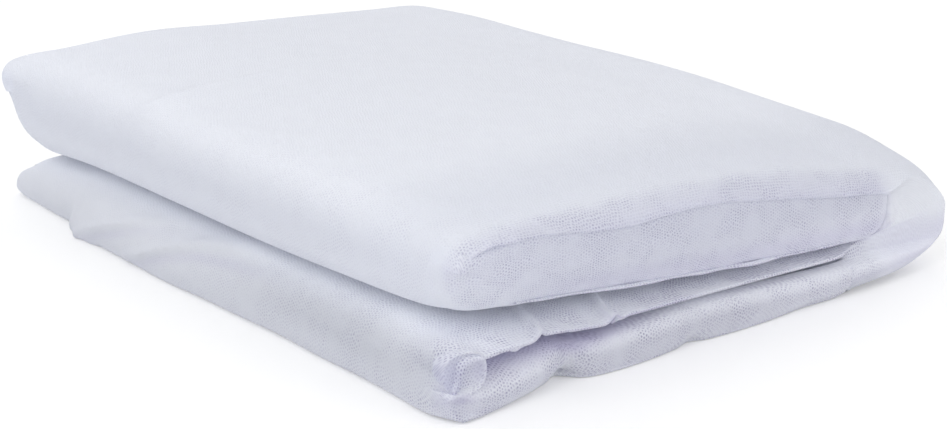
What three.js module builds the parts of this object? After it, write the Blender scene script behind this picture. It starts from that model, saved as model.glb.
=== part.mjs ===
// Folded mosquito net for a gazebo: one long white net panel, folded into a flat pad.
// Units are millimetres. +X runs from the open side to the bend, +Y runs from the
// front to the back along the longest side, +Z is up, and the pad rests on z = 0.
//
// The net is one continuous strip, seen in its cross section across Y. The strip is
// folded back and forth into eight layers, each as thick as the plies of fine net that
// lie together in it. The eight layers are bent over once at +X, so the pad has an
// upper and a lower half, which open towards -X.
import * as THREE from "three";

// Driving dimensions
const LENGTH = 424; // front edge to back edge
const OPEN_X = -153; // where the round edges of the open side lie
const BEND_X = 161; // how far out the bend reaches
const INNER_BEND_X = 125; // where the innermost layer turns
const RUN_END = 101; // where the layers start to bend
const EDGE_REACH = 30; // how far the upper half's whole round edge stands out
const LAYERS = 8;
const GAP_SHARE = 0.3; // gap between layers, as a share of a layer's thickness
const ROLL_TUCK = 15; // how far the rolled edge tucks back in under itself
const ROLL_ROOM = 30; // how far the layers inside the rolled edge stop short of it
const EDGE_SQUARENESS = 0.8; // 1 is a plain ellipse, less is squarer, more is slacker
const BEND_SQUARENESS = { above: 0.78, below: 1.2 };
const FOLD_TAPER = 0.85; // how fast folds get shorter towards the innermost one

// Segments along each stretch of a layer
const RUN_STEPS = 5;
const BEND_STEPS = 8;
const WIDE_FOLD_STEPS = 8;
const FOLD_STEPS = 6;
const TIGHT_FOLD_STEPS = 4;

// Where the cross sections lie, as shares of the way from front to back
const STATIONS = [0, 0.03, 0.09, 0.19, 0.32, 0.46, 0.6, 0.72, 0.8, 0.9, 0.965, 1];

// The pad's shape from front to back. "top" is its height near the open side, in the
// middle and near the bend. "under" is the underside of the upper half and "low" the
// top of the lower half, both at the open side. Further in, "seam" is the height of
// the slit between the halves and "parting" is its width. "upperOut", "lowerOut" and
// "bendOut" say how far an edge stands out past its nominal place.
const SECTIONS = [
  { y: -212, topOpen: 71, topMid: 64, topBend: 49, under: 43, low: 28, seamMid: 27,
    seamBend: 23, parting: 7, upperOut: -4, lowerOut: 2, bendOut: -2 },
  { y: -180, topOpen: 78, topMid: 74, topBend: 62, under: 37, low: 31, seamMid: 29,
    seamBend: 27, parting: 4, upperOut: -1, lowerOut: 1, bendOut: 0 },
  { y: -120, topOpen: 81, topMid: 80, topBend: 71, under: 33, low: 31, seamMid: 31,
    seamBend: 31, parting: 2, upperOut: -1, lowerOut: 1, bendOut: 1 },
  { y: -50, topOpen: 82, topMid: 83, topBend: 76, under: 31, low: 29, seamMid: 32,
    seamBend: 34, parting: 2, upperOut: 0, lowerOut: 4, bendOut: 1 },
  { y: 20, topOpen: 82, topMid: 84, topBend: 77, under: 31, low: 29, seamMid: 33,
    seamBend: 35, parting: 2, upperOut: 1, lowerOut: 7, bendOut: 0 },
  { y: 95, topOpen: 83, topMid: 84, topBend: 78, under: 31, low: 29, seamMid: 33,
    seamBend: 35, parting: 2, upperOut: 2, lowerOut: 9, bendOut: 0 },
  { y: 130, topOpen: 84, topMid: 84, topBend: 78, under: 30, low: 27, seamMid: 32,
    seamBend: 35, parting: 2, upperOut: 2, lowerOut: -1, bendOut: 0 },
  { y: 180, topOpen: 83, topMid: 81, topBend: 76, under: 27, low: 23, seamMid: 29,
    seamBend: 34, parting: 2, upperOut: 2, lowerOut: -2, bendOut: -1 },
  { y: 212, topOpen: 75, topMid: 72, topBend: 68, under: 23, low: 18, seamMid: 25,
    seamBend: 30, parting: 3, upperOut: -3, lowerOut: -4, bendOut: -6 },
];

// How far the ends of the layers lie back from the front and back edges of the pad.
// "depth" runs from the outermost layer, 0, to the innermost, 1.
const END_SETBACKS = [
  { depth: 0, upperFront: 0, lowerFront: 5, upperBack: 0, lowerBack: 3 },
  { depth: 0.16, upperFront: 9, lowerFront: 4, upperBack: 4, lowerBack: 2 },
  { depth: 0.45, upperFront: 15, lowerFront: 9, upperBack: 7, lowerBack: 6 },
  { depth: 0.75, upperFront: 12, lowerFront: 8, upperBack: 5, lowerBack: 9 },
  { depth: 1, upperFront: 8, lowerFront: 4, upperBack: 8, lowerBack: 5 },
];

// How much the pad's corners draw in, at the front and at the back
const CORNERS = {
  front: { bend: 12, edge: 4 },
  back: { bend: 20, edge: 12 },
};

const clamp = (t) => Math.min(Math.max(t, 0), 1);
const ease = (t) => t * t * (3 - 2 * t);
const mix = (a, b, t) => a + (b - a) * t;

// Value of a table's column at a place, eased between its rows.
function readTable(table, key, column, place) {
  const next = table.findIndex((row) => row[key] >= place);
  if (next === 0) return table[0][column];
  if (next < 0) return table[table.length - 1][column];
  const a = table[next - 1];
  const b = table[next];
  return mix(a[column], b[column], ease((place - a[key]) / (b[key] - a[key])));
}

const section = (column, y) => readTable(SECTIONS, "y", column, y);

// A height between its values at the open side, 0, in the middle, and at the bend, 1.
function across(open, middle, bend, along) {
  const t = clamp(along);
  return t < 0.5 ? mix(open, middle, ease(t * 2)) : mix(middle, bend, ease(t * 2 - 1));
}

// Heights of the pad's top, the upper half's underside and the lower half's top.
function heights(along, y) {
  const slit = section("parting", y) / 2;
  const seam = [section("seamMid", y), section("seamBend", y)];
  return {
    top: across(section("topOpen", y), section("topMid", y), section("topBend", y), along),
    under: across(section("under", y), seam[0] + slit, seam[1] + slit, along),
    low: across(section("low", y), seam[0] - slit, seam[1] - slit, along),
  };
}

// Half a turn of a squared ellipse, as shares of its reach forward and sideways.
function halfTurn(share, squareness) {
  const forward = Math.sin(share * Math.PI);
  const sideways = Math.cos(share * Math.PI);
  return {
    forward: Math.pow(Math.abs(forward), squareness),
    sideways: Math.sign(sideways) * Math.pow(Math.abs(sideways), squareness),
  };
}

// The thickness of a layer and the place of each, as shares of a half's whole depth.
const THICKNESS = 1 / (LAYERS + (LAYERS - 1) * GAP_SHARE);
const layerDepth = (layer) => THICKNESS / 2 + (layer - 1) * THICKNESS * (1 + GAP_SHARE);

// How far a fold stands out, from half of the depth that it spans.
const foldReach = (half) => EDGE_REACH * Math.pow(half * 2, FOLD_TAPER);

const UPPER_START = OPEN_X + foldReach(0.5);
const LOWER_START = OPEN_X + foldReach(layerDepth(4) / 2 + THICKNESS / 4);

// Soft waves, so that the layers lie unevenly. They fade out at a half's two faces.
function unevenDepth(depth, travel, y) {
  const fade = 4 * depth * (1 - depth);
  const wave = Math.sin(y / 41 + travel * 2.1 + depth * 5) + 0.6 * Math.sin(y / 23 - travel * 3.7);
  return depth + 0.02 * fade * wave;
}

// Where a point of the strip lies in the cross section. "travel" is 0 to 1 along the
// upper half, 1 to 2 around the bend and 2 to 3 back along the lower half. "reach" is
// how far the point stands out past the end of its half.
function placeInSection({ travel, depth, reach }, y) {
  const d = unevenDepth(depth, travel, y);
  if (travel <= 1) {
    const { top, under } = heights(travel, y);
    const start = UPPER_START - section("upperOut", y);
    return { x: mix(start, RUN_END, travel) - reach, z: mix(top, under, d) };
  }
  if (travel >= 2) {
    const along = 3 - travel;
    const start = LOWER_START - section("lowerOut", y);
    return { x: mix(start, RUN_END, along) - reach, z: mix(0, heights(along, y).low, d) };
  }
  const { top, under, low } = heights(1, y);
  const middle = (under + low) / 2;
  const squareness = travel < 1.5 ? BEND_SQUARENESS.above : BEND_SQUARENESS.below;
  const turn = halfTurn(travel - 1, squareness);
  const far = mix(BEND_X + section("bendOut", y), INNER_BEND_X, d);
  const rise = turn.sideways > 0 ? mix(top, under, d) - middle : middle - mix(0, low, d);
  return { x: mix(RUN_END, far, turn.forward), z: middle + rise * turn.sideways };
}

// How far along Y the strip runs at one of its points.
function endsOfStrip({ travel, depth, reach }) {
  const aroundBend = clamp(travel - 1);
  const setback = (end) => mix(
    readTable(END_SETBACKS, "depth", "upper" + end, depth),
    readTable(END_SETBACKS, "depth", "lower" + end, depth),
    ease(aroundBend),
  );
  const bend = Math.pow(Math.sin(Math.PI * aroundBend), 2);
  const edge = Math.pow(reach / EDGE_REACH, 2);
  const corner = ({ bend: atBend, edge: atEdge }) => atBend * bend + atEdge * edge;
  return {
    front: -LENGTH / 2 + setback("Front") + corner(CORNERS.front),
    back: LENGTH / 2 - setback("Back") - corner(CORNERS.back),
  };
}

// A stretch of one layer, as pairs of points on the strip's two faces.
function layerRun(layer, from, to, steps) {
  const half = (Math.sign(to - from) * THICKNESS) / 2;
  const depth = layerDepth(layer);
  return Array.from({ length: steps + 1 }, (_, i) => {
    const travel = mix(from, to, i / steps);
    return [-half, half].map((side) => ({ travel, depth: depth + side, reach: 0 }));
  });
}

// The whole way of a layer, over the upper half, the bend and the lower half.
function wholeLayer(layer, lowerEnd = 3) {
  return [
    ...layerRun(layer, 0, 1, RUN_STEPS),
    ...layerRun(layer, 1, 2, BEND_STEPS).slice(1),
    ...layerRun(layer, 2, lowerEnd, RUN_STEPS).slice(1),
  ];
}

// The same, from the lower half back to the upper half.
const wholeLayerBack = (layer, lowerEnd = 3) =>
  wholeLayer(layer, lowerEnd).reverse().map(([a, b]) => [b, a]);

// A fold from one layer to another, where travel is 0 or near 3.
function fold(from, to, travel, steps) {
  const centre = (layerDepth(from) + layerDepth(to)) / 2;
  const span = (layerDepth(to) - layerDepth(from)) / 2;
  const direction = Math.sign(span);
  const turn = travel === 0 ? direction : -direction;
  return Array.from({ length: steps - 1 }, (_, i) => {
    const { forward, sideways } = halfTurn((i + 1) / steps, EDGE_SQUARENESS);
    return [-turn, turn].map((side) => {
      const half = Math.abs(span) + (side * THICKNESS) / 2;
      return { travel, depth: centre - direction * half * sideways, reach: foldReach(half) * forward };
    });
  });
}

// The strip from one free end to the other. Both free ends lie in the lower half:
// layer 7 simply stops, and layer 8 rolls down and tucks in under itself.
const halfLength = RUN_END - LOWER_START;
const inRoll = 3 - ROLL_ROOM / halfLength;
const strip = [
  ...wholeLayerBack(7, inRoll),
  ...fold(7, 2, 0, FOLD_STEPS),
  ...wholeLayer(2),
  ...fold(2, 3, 3, TIGHT_FOLD_STEPS),
  ...wholeLayerBack(3),
  ...fold(3, 6, 0, FOLD_STEPS),
  ...wholeLayer(6, inRoll),
  ...fold(6, 5, inRoll, TIGHT_FOLD_STEPS),
  ...wholeLayerBack(5, inRoll),
  ...fold(5, 4, 0, TIGHT_FOLD_STEPS),
  ...wholeLayer(4),
  ...fold(4, 1, 3, FOLD_STEPS),
  ...wholeLayerBack(1),
  ...fold(1, 8, 0, WIDE_FOLD_STEPS),
  ...wholeLayer(8),
  ...fold(8, 5, 3, WIDE_FOLD_STEPS),
  ...layerRun(5, 3, 3 - ROLL_TUCK / halfLength, 1),
];

// One closed body, lofted through the stations.
function loftStrip() {
  const positions = [];
  const triangles = [];
  const ringSize = strip.length * 2;
  for (const share of STATIONS) {
    for (const pair of strip) {
      for (const point of pair) {
        const { front, back } = endsOfStrip(point);
        const y = mix(front, back, share);
        const { x, z } = placeInSection(point, y);
        positions.push(x, y, z);
      }
    }
  }
  const vertex = (station, along, face) => station * ringSize + along * 2 + face;
  const quad = (a, b, c, d) => triangles.push(a, c, b, a, d, c);
  const lastStation = STATIONS.length - 1;
  const lastPair = strip.length - 1;
  for (let along = 0; along < lastPair; along += 1) {
    for (let s = 0; s < lastStation; s += 1) {
      quad(vertex(s, along, 0), vertex(s + 1, along, 0), vertex(s + 1, along + 1, 0), vertex(s, along + 1, 0));
      quad(vertex(s, along, 1), vertex(s, along + 1, 1), vertex(s + 1, along + 1, 1), vertex(s + 1, along, 1));
    }
    quad(vertex(0, along, 0), vertex(0, along + 1, 0), vertex(0, along + 1, 1), vertex(0, along, 1));
    quad(vertex(lastStation, along, 0), vertex(lastStation, along, 1),
      vertex(lastStation, along + 1, 1), vertex(lastStation, along + 1, 0));
  }
  for (let s = 0; s < lastStation; s += 1) {
    quad(vertex(s, 0, 0), vertex(s, 0, 1), vertex(s + 1, 0, 1), vertex(s + 1, 0, 0));
    quad(vertex(s, lastPair, 0), vertex(s + 1, lastPair, 0), vertex(s + 1, lastPair, 1), vertex(s, lastPair, 1));
  }
  const geometry = new THREE.BufferGeometry();
  geometry.setAttribute("position", new THREE.Float32BufferAttribute(positions, 3));
  geometry.setIndex(triangles);
  geometry.computeVertexNormals();
  return geometry;
}

const netWhite = new THREE.MeshStandardMaterial({ color: 0xe2e4ee, roughness: 0.9, metalness: 0 });
const net = new THREE.Mesh(loftStrip(), netWhite);
net.name = "net";

const pad = new THREE.Group();
pad.add(net);
export default pad;
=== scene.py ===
"""Folded white mosquito net of a gazebo, lying on a pale surface.

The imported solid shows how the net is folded: back and forth into layers that are bent
over once at +X. Here the same folds carry thin sheets of fine netting. Lengths in this
file are millimetres in the row's frame, and make_piece() turns them into metres.
"""
import math

import bpy
import numpy as np
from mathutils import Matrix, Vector


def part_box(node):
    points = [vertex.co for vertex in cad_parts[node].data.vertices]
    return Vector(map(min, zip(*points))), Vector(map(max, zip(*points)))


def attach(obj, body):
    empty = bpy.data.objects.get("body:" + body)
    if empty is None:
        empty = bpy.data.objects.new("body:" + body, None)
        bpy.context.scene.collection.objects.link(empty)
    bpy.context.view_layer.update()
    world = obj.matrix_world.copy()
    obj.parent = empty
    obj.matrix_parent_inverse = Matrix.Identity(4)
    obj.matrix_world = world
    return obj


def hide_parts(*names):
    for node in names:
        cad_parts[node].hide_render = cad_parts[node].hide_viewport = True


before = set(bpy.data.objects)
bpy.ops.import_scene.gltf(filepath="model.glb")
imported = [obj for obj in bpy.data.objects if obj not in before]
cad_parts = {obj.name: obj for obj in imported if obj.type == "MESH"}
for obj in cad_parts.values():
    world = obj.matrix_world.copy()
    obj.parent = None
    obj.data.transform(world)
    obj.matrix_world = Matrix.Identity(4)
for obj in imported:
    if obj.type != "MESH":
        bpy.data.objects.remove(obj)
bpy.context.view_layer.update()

MM = 0.001

# ---------------------------------------------------------------- the folded form

LOW_CORNER, HIGH_CORNER = (np.array(corner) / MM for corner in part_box("net"))

OPEN_X = LOW_CORNER[0] + 9    # where the round edges of the open side lie
BEND_X = HIGH_CORNER[0] - 1   # how far out the bend reaches
INNER_BEND_X = BEND_X - 36    # where the innermost ply turns
RUN_END = BEND_X - 60         # where the plies start to bend
EDGE_REACH = 30               # how far the upper half's round edge stands out
LOWER_REACH = 33              # how far the lower half's face at the open side stands out
EDGE_SQUARENESS = 0.8         # 1 is a plain ellipse, less is squarer, more is slacker
BEND_SQUARENESS = {"above": 0.64, "above_front": 0.92, "below": 1.2, "below_front": 0.32}
FOLD_TAPER = 0.85             # how fast folds get shorter towards the innermost one

# The pad's shape from front to back. The five "top" columns are its height from the
# open side to the bend. "under" and "low" are the underside of the upper half and the
# top of the lower half at the open side. Further in, the "seam" columns are the height
# of the slit between the halves and the "parting" ones its width. The "out" columns say
# how far an edge stands out past its nominal place.
COLUMNS = ("y", "top_0", "top_1", "top_2", "top_3", "top_4", "under", "low", "seam_mid",
           "seam_bend", "parting_mid", "parting_bend", "upper_out", "lower_out", "bend_out")
SECTIONS = [dict(zip(COLUMNS, row)) for row in (
    (-212, 75.5, 73.5, 72.5, 66.0, 57.0, 44, 26, 28.5, 23, 9, 5.5, -4, 3.5, 9),
    (-195, 78.5, 78.5, 77.5, 72.5, 63.5, 41, 30, 29, 24, 6, 3, -1, 5, 12.5),
    (-170, 80.0, 80.5, 81.0, 77.0, 70.5, 36, 32, 30, 28, 4, 3, -1, 4, 6),
    (-120, 81.0, 82.0, 82.5, 80.0, 75.5, 33, 31, 31, 31, 2, 2, -1, 4, 1),
    (-50, 82.0, 84.0, 85.0, 83.5, 80.0, 31, 29, 32, 34, 2, 2, 0, 6, 1),
    (20, 82.5, 85.0, 86.0, 84.5, 81.0, 31, 29, 33, 35, 2, 2, 1, 9, 0),
    (95, 84.0, 86.0, 86.0, 84.5, 81.5, 31, 29, 33, 35, 2, 2, 2, 9, 0),
    (130, 85.5, 88.0, 86.5, 84.5, 82.0, 30, 27.5, 32, 35, 2, 2, 2, 3, 0),
    (180, 85.5, 88.5, 85.5, 83.5, 81.5, 27, 24.5, 29, 34, 2, 2, 3, 1, -1),
    (200, 85.0, 88.5, 85.5, 83.0, 81.0, 25, 21.5, 27, 32, 2, 2, 5, 1, -2),
    (212, 83.0, 88.0, 84.5, 82.0, 80.0, 23, 17.5, 25, 30, 3, 3, 6, 0, -3),
)]


def mix(a, b, t):
    return a + (b - a) * t


def ease(t):
    """0 below 0 and 1 above 1, with a soft step between them."""
    t = np.clip(t, 0, 1)
    return t * t * (3 - 2 * t)


def rises(value, start, width):
    """0 up to "start" and 1 from "width" past it, softly."""
    return ease((value - start) / width)


def falls(value, end, width):
    """1 until "width" short of "end" and 0 past it, softly."""
    return ease((end - value) / width)


def curve(knots, values, at):
    """Smooth curve through values[i] at knots[i]. The values may be arrays."""
    knots = np.asarray(knots, float)
    at = np.clip(at, knots[0], knots[-1])
    values = [np.asarray(v, float) + 0 * at for v in values]
    slopes = [
        (values[min(i + 1, len(knots) - 1)] - values[max(i - 1, 0)])
        / (knots[min(i + 1, len(knots) - 1)] - knots[max(i - 1, 0)])
        for i in range(len(knots))
    ]
    result = 0 * at
    for i in range(len(knots) - 1):
        step = knots[i + 1] - knots[i]
        t = (at - knots[i]) / step
        inside = (t >= 0) & ((t < 1) | (i == len(knots) - 2)) & (t <= 1)
        piece = ((2 * t**3 - 3 * t**2 + 1) * values[i] + (t**3 - 2 * t**2 + t) * step * slopes[i]
                 + (3 * t**2 - 2 * t**3) * values[i + 1] + (t**3 - t**2) * step * slopes[i + 1])
        result = np.where(inside, piece, result)
    return result


def section(column, y):
    """A column of SECTIONS at y."""
    return curve([row["y"] for row in SECTIONS], [row[column] for row in SECTIONS], y)


def heights(along, y):
    """Heights of the pad's top, the upper half's underside and the lower half's top.

    "along" runs from 0 at the open side to 1 at the bend."""
    along = np.clip(along, 0, 1)
    top = curve((0, 0.25, 0.5, 0.75, 1), [section(f"top_{i}", y) for i in range(5)], along)
    seam = [section("seam_mid", y), section("seam_bend", y)]
    slit = [section("parting_mid", y) / 2, section("parting_bend", y) / 2]
    under = curve((0, 0.5, 1), [section("under", y), seam[0] + slit[0], seam[1] + slit[1]], along)
    low = curve((0, 0.5, 1), [section("low", y), seam[0] - slit[0], seam[1] - slit[1]], along)
    return top, under, low


def half_turn(share, squareness):
    """Half a turn of a squared ellipse, as shares of its reach forward and sideways."""
    forward = np.sin(share * np.pi)
    sideways = np.cos(share * np.pi)
    return (np.abs(forward) ** squareness,
            np.sign(sideways) * np.abs(sideways) ** squareness)


def fold_reach(half):
    """How far a fold stands out, from half of the depth that it spans."""
    return EDGE_REACH * np.power(half * 2, FOLD_TAPER)


# where the straight runs of both halves start
UPPER_START = OPEN_X + fold_reach(0.5)
LOWER_START = OPEN_X + LOWER_REACH


def place(travel, depth, reach, y):
    """x and z of a point of the folds, at y.

    "travel" is 0 to 1 along the upper half, 1 to 2 around the bend and 2 to 3 back along
    the lower half. "depth" is 0 on the pad's outside and 1 in the slit. "reach" is how
    far the point stands out past the open end of its half."""
    along = np.where(travel <= 1, travel, np.where(travel >= 2, 3 - travel, 1))
    top, under, low = heights(along, y)
    upper_x = mix(UPPER_START - section("upper_out", y), RUN_END, travel) - reach
    upper_z = mix(top, under, depth)
    lower_x = mix(LOWER_START - section("lower_out", y), RUN_END, 3 - travel) - reach
    lower_z = low * depth
    middle = (under + low) / 2
    squareness = np.where(travel < 1.5, *(
        mix(BEND_SQUARENESS[part], BEND_SQUARENESS[part + "_front"], falls(y, -150, 50))
        for part in ("above", "below")))
    forward, sideways = half_turn(np.clip(travel - 1, 0, 1), squareness)
    far = mix(BEND_X + section("bend_out", y), INNER_BEND_X, depth)
    rise = np.where(sideways > 0, upper_z - middle, middle - lower_z)
    bend_x = mix(RUN_END, far, forward)
    bend_z = middle + rise * sideways
    x = np.where(travel <= 1, upper_x, np.where(travel >= 2, lower_x, bend_x))
    z = np.where(travel <= 1, upper_z, np.where(travel >= 2, lower_z, bend_z))
    return x, z


# ---------------------------------------------------------------- ways along the folds

# The lower half's face at the open side, from where it lies on the surface up to its
# top, as shares of LOWER_REACH and of the lower half's height.
LOWER_FACE = ((0.30, 0.05), (0.55, 0.02), (0.80, 0.0), (0.93, 0.02), (0.99, 0.10), (1.0, 0.22),
              (0.975, 0.40), (0.91, 0.60), (0.78, 0.79), (0.55, 0.92), (0.28, 0.98), (0.0, 1.0))


def run(start, end, depth, steps=400):
    """A stretch of a way along the folds at one depth."""
    travel = np.linspace(start, end, steps)
    return np.stack([travel, 0 * travel + depth, 0 * travel], 1)


def upper_fold(from_depth, to_depth, steps=240):
    """A fold between two depths at the upper half's open side."""
    forward, sideways = half_turn(np.linspace(0, 1, steps), EDGE_SQUARENESS)
    half = abs(to_depth - from_depth) / 2
    centre = (from_depth + to_depth) / 2
    depth = centre + (from_depth - centre) * sideways
    return np.stack([0 * depth, depth, fold_reach(half) * forward], 1)


def lower_face(steps=300):
    """The way up the lower half's face, along LOWER_FACE."""
    knots = np.arange(len(LOWER_FACE))
    at = np.linspace(0, knots[-1], steps)
    reach, depth = (curve(knots, column, at) for column in zip(*LOWER_FACE))
    return np.stack([0 * at + 3, np.maximum(depth, 0), LOWER_REACH * reach], 1)


def even_way(stretches, spacing):
    """The stretches as one way, with the given spacing(way) between its points.

    Returns the points and their distance along the way, measured in the cross section
    halfway between the front and the back."""
    way = np.concatenate(stretches)
    x, z = place(*way.T, np.zeros(len(way)))
    step = np.hypot(np.diff(x), np.diff(z))
    keep = np.concatenate([[True], step > 1e-6])
    way, x, z = way[keep], x[keep], z[keep]
    step = np.hypot(np.diff(x), np.diff(z))
    length = np.concatenate([[0], np.cumsum(step)])
    asked = spacing(way)
    count = np.concatenate([[0], np.cumsum(step / ((asked[1:] + asked[:-1]) / 2))])
    at = np.linspace(0, count[-1], int(round(count[-1])) + 1)
    return (np.stack([np.interp(at, count, column) for column in way.T], 1),
            np.interp(at, count, length))


# ---------------------------------------------------------------- how the netting and its painted shade vary

OPEN_FACE_X = -135            # beyond it lies the lower half's face at the open side


def shaded_holes(x, y, z):
    """How much the netting's holes show, painted in the shaded colour of the plies behind
    them: most where only one or two plies lie on each other, and more where they paint
    shade, in the slit between the halves and on the end faces.
    """
    front = falls(y, -172, 30)
    lower = falls(z, 36, 6)
    near = falls(y, 80, 240)
    band = front * lower * rises(z, 19, 4)
    # painted shade in the slit between the halves: more of the holes' dark colour shows
    dark = band * rises(x, -55, 20) * rises(y, -207, 4)
    # painted shade on the end faces: more of the holes' dark colour shows
    end_face = falls(y, -196, 6) * (1 - lower)
    side = falls(x, -120, 20) * near * (1 - lower) * falls(z, 120, 30)
    bend = rises(x, 106, 12)
    shown = (0.10 + mix(0.30, 0.28, rises(x, -20, 80)) * front * lower + 0.08 * band
             + 0.30 * dark + 0.30 * lower * near + 0.45 * end_face + 0.10 * side * (1 - front))
    shown = mix(shown, 0.12, bend)
    # on the pleats' crests less of the holes shows, so less painted shade and a lighter crest
    for line, left, right in LOWER_TOP_PLEATS:
        pleat = np.clip(crest(x, y, line, left, right), 0, 2.5)
        shown = shown * (1 - 0.36 * lower * pleat)
    for line, left, right in FACE_PLEATS:
        pleat = np.clip(crest(y, z, line, left, right), 0, 2.5)
        shown = shown * (1 - 0.3 * lower * (x < OPEN_FACE_X) * pleat)
    beside_roll = np.exp(-((x + 155) / 3.5) ** 2 - ((z - 21) / 9) ** 2) * falls(y, -195, 8)
    shown = shown * (1 - 0.6 * beside_roll)
    return np.clip(shown, 0, 1)


def painted_shade_amount(x, y, z, level):
    """Painted shade: where shade falls on the netting, and where its thin plies would show the
    shade behind them, its colour is painted darker and more lavender.

    That is by the lip on top, in the recess of the lower half's front, below the roll,
    on the end faces and low on the upper half's ones, on the lower half's top in the slit,
    by the bend's foot and under the pleats of the lower face at the open side. "level" is
    1 where the cloth lies flat."""
    # painted shade where the top ply rolls down to its lip
    lip_z = np.interp(x, *zip(*LIPS[FRONT]))
    lip = (falls(y, -197, 8) * rises(level, 0.1, 0.3) * rises(z - lip_z, -1.5, 1.5)
           * falls(x, 118, 10) * rises(x, -152, 25))
    ridge = foot_value(FRONT, "ridge_z", x)
    # painted shade in the recess below the lower half's lip, strongest by the open side
    recess = (falls(y, -140, 20) * rises(y, -209, 8) * falls(z, 24.5, 2)
              * rises(z - ridge, -1, 5) * rises(x, -143, 6)
              * mix(0.1, 1.1, falls(x, -20, 60)) * falls(x, 110, 15))
    # painted shadow below the roll
    below_roll = (falls(y, -200, 5)
                  * np.exp(-((x + 149.5) / 6) ** 2 - ((z - 11 + (x + 149.5) / 6) / 1.8) ** 2))
    # painted shade on the end faces
    end_face = falls(y, -196, 6) * (1 - level)
    end_face = end_face * mix(1.2, falls(x, 124, 6), rises(z, 24, 6))
    # painted shade on the lower half's top in the slit under the upper half
    band = falls(y, -160, 30) * rises(z, 18, 4) * falls(z, 40, 6) * level
    # painted shade on the upper half's end face, darker towards its lower edge
    low_edge = np.interp(x, (-150, -80, 0, 110), (48, 39, 33, 27))
    selvedge = end_face * (z > 24) * falls(z, low_edge + 14, 12) * rises(x, -130, 60)
    # painted shade on the lower part of the bend
    bend_foot = rises(x, 108, 30) * falls(z, 38, 34)
    # painted shade below the pleats of the lower face at the open side
    under = 0
    for line, _, _ in FACE_PLEATS:
        below_pleat = crest(y, z + 4.5, line, 2.5, 2.5)
        under = under + (x < OPEN_FACE_X) * falls(z, 36, 4) * below_pleat / 3
    # the painted shade from all of these places
    return np.clip(0.15 * lip + recess + 0.55 * below_roll + 0.25 * end_face + 0.6 * selvedge
                   + 0.06 * band + 0.28 * under + 0.25 * bend_foot, 0, 1)


def thinness(x, y, z, level):
    """How much light the netting lets through: most where one or two plies stand free.

    "level" is 1 where the cloth lies flat."""
    lower = falls(z, 48, 12)
    near = 0.12 * falls(y, -110, 70) * level * (1 - lower)
    side = (0.26 + mix(0.18, -0.03, rises(y, -120, 140)) * lower * rises(z, 6, 12))
    side = side * falls(x, -140, 12)
    front = mix(0.21, mix(0.16, 0.08, rises(x, 10, 50)), lower) * falls(y, -197, 6)
    free = (1 - level * mix(1, 0.5, lower)) * np.maximum(side, front) * (1 - rises(x, 108, 12))
    return 0.18 - 0.16 * lower * level * falls(y, -130, 50) + near + free


# ---------------------------------------------------------------- making pieces

def make_piece(name, parts, material):
    """A piece from grids of (points, uv), in millimetres, joined where points coincide."""
    points, uvs, faces, offset = [], [], [], 0
    for grid, uv in parts:
        rows, columns = grid.shape[:2]
        index = np.arange(rows * columns).reshape(rows, columns) + offset
        quads = np.stack([index[:-1, :-1], index[1:, :-1], index[1:, 1:], index[:-1, 1:]], -1)
        faces.append(quads.reshape(-1, 4))
        points.append(grid.reshape(-1, 3))
        uvs.append(uv.reshape(-1, 2))
        offset += rows * columns
    points, uvs, faces = map(np.concatenate, (points, uvs, faces))
    _, first, same = np.unique(np.round(points, 3), axis=0, return_index=True,
                               return_inverse=True)
    same = same.ravel()
    corner_uv = uvs[faces]
    faces = same[faces]
    whole = np.array([len(set(face)) == 4 for face in faces])
    corner_uv, faces = corner_uv[whole], faces[whole]
    mesh = bpy.data.meshes.new(name)
    mesh.from_pydata((points[first] * MM).tolist(), [], faces.tolist())
    layer = mesh.uv_layers.new(name="Cloth")
    layer.data.foreach_set("uv", (corner_uv * MM).astype(np.float32).ravel())
    normal = np.empty(3 * len(first), np.float32)
    mesh.vertices.foreach_get("normal", normal)
    at = points[first].T
    level = np.abs(normal[2::3])
    # the share of the holes with their painted shade, the translucency, and the painted shade
    for label, values in (("open", shaded_holes(*at)), ("thin", thinness(*at, level)),
                          ("painted_shade", painted_shade_amount(*at, level))):
        attribute = mesh.attributes.new(label, "FLOAT", "POINT")
        attribute.data.foreach_set("value", values.astype(np.float32))
    mesh.materials.append(material)
    mesh.shade_smooth()
    mesh.update()
    piece = bpy.data.objects.new(name, mesh)
    bpy.context.scene.collection.objects.link(piece)
    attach(piece, "root")
    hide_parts("net")
    return piece


def normals(grid):
    """Unit normals of a grid of points, to the outside of the folded net."""
    normal = np.cross(np.gradient(grid, axis=0), np.gradient(grid, axis=1))
    return normal / np.maximum(np.linalg.norm(normal, axis=2, keepdims=True), 1e-9)


def hem(edge, inward, forward, radius, turn, width, count=6):
    """Rows of points that curl an edge over and lead it back, from the edge outwards."""
    rows = []
    for k in range(1, count + 1):
        angle = turn * k / count
        rows.append(edge + forward * (radius * np.sin(angle))
                    + inward * (radius * (1 - np.cos(angle))))
    last = rows[-1]
    for k in (0.35, 0.7, 1):
        rows.append(last + (forward * np.cos(turn) + inward * np.sin(turn)) * width * k)
    return rows


# ---------------------------------------------------------------- the outer ply

END_Y = 210                   # where the plies end in front and behind, before their hems
CORNER_Y = 190                # from here on the open side's faces turn round the corners
FRONT, BACK = -1, 1
SLIT_HEIGHT = {FRONT: 64, BACK: 60}      # the height from which the top ply's edge is free
ROLL_FOOT = {FRONT: 0.45, BACK: 0.85}    # how far up the lower half its roll starts
LOWER_CORNER = 2.5            # how far the lower face is rounded off at the corners


def lower_corner(z):
    """How far the lower face is rounded off at the corners: the same all the way up."""
    return LOWER_CORNER + 0 * z


def upper_corner(z):
    """How far the upper face is rounded off at the corners: less by the lip."""
    return mix(12, 3, rises(z, 53, 12))


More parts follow.
